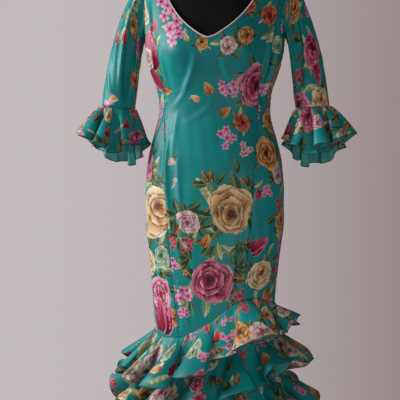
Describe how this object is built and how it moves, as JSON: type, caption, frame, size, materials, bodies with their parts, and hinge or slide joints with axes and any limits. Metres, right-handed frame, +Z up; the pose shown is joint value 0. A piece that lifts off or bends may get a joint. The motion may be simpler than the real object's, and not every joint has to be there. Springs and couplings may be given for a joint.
{
  "type": "flamenco dress on dress form",
  "caption": "Long fitted flamenco dress with a V neck, elbow sleeves with flounced cuffs and tiers of flounces below the knee, on a limbless dress form with a round base.",
  "frame": {"origin": "centre of the underside of the stand's round base, on the floor", "axes": "+Z up, the front of the dress faces -Y, +X is the wearer's left"},
  "size_m": [0.739, 0.5949, 1.5263],
  "materials": {
    "satin": "printed polyester satin, soft gloss",
    "flounce_satin": "printed satin with a rolled hem in darker thread",
    "binding": "narrow satin binding",
    "form_jersey": "matt black jersey cover",
    "stand_metal": "satin black paint",
    "zip_metal": "painted to match the cloth"
  },
  "bodies": {
    "dress_on_form": {"front_panel": "satin", "side_front_left": "satin", "side_front_right": "satin", "side_back_left": "satin", "side_back_right": "satin", "back_panel_left": "satin", "back_panel_right": "satin", "sleeve_left": "satin", "sleeve_right": "satin", "cuff_flounce_left": "flounce_satin", "cuff_flounce_right": "flounce_satin", "underskirt_front": "flounce_satin", "underskirt_left": "flounce_satin", "underskirt_back": "flounce_satin", "underskirt_right": "flounce_satin", "tier1_front": "flounce_satin", "tier1_left": "flounce_satin", "tier1_back": "flounce_satin", "tier1_right": "flounce_satin", "tier2_front": "flounce_satin", "tier2_left": "flounce_satin", "tier2_back": "flounce_satin", "tier2_right": "flounce_satin", "tier3_front": "flounce_satin", "tier3_left": "flounce_satin", "tier3_back": "flounce_satin", "tier3_right": "flounce_satin", "tier4_front": "flounce_satin", "tier4_left": "flounce_satin", "tier4_back": "flounce_satin", "tier4_right": "flounce_satin", "neck_binding": "binding", "form_torso": "form_jersey", "neck_cap": "stand_metal", "stand_collar": "stand_metal", "stand_pole": "stand_metal", "stand_base": "stand_metal", "zip_slider": "zip_metal"},
    "zip_pull": {"zip_pull": "zip_metal"}
  },
  "joints": [
    {"name": "zip_pull_hinge", "type": "hinge", "parent": "dress_on_form", "child": "zip_pull", "pos_m": [0, 0.09016, 1.35421], "axis": [1, 0, 0], "range_deg": [0, 170]}
  ]
}
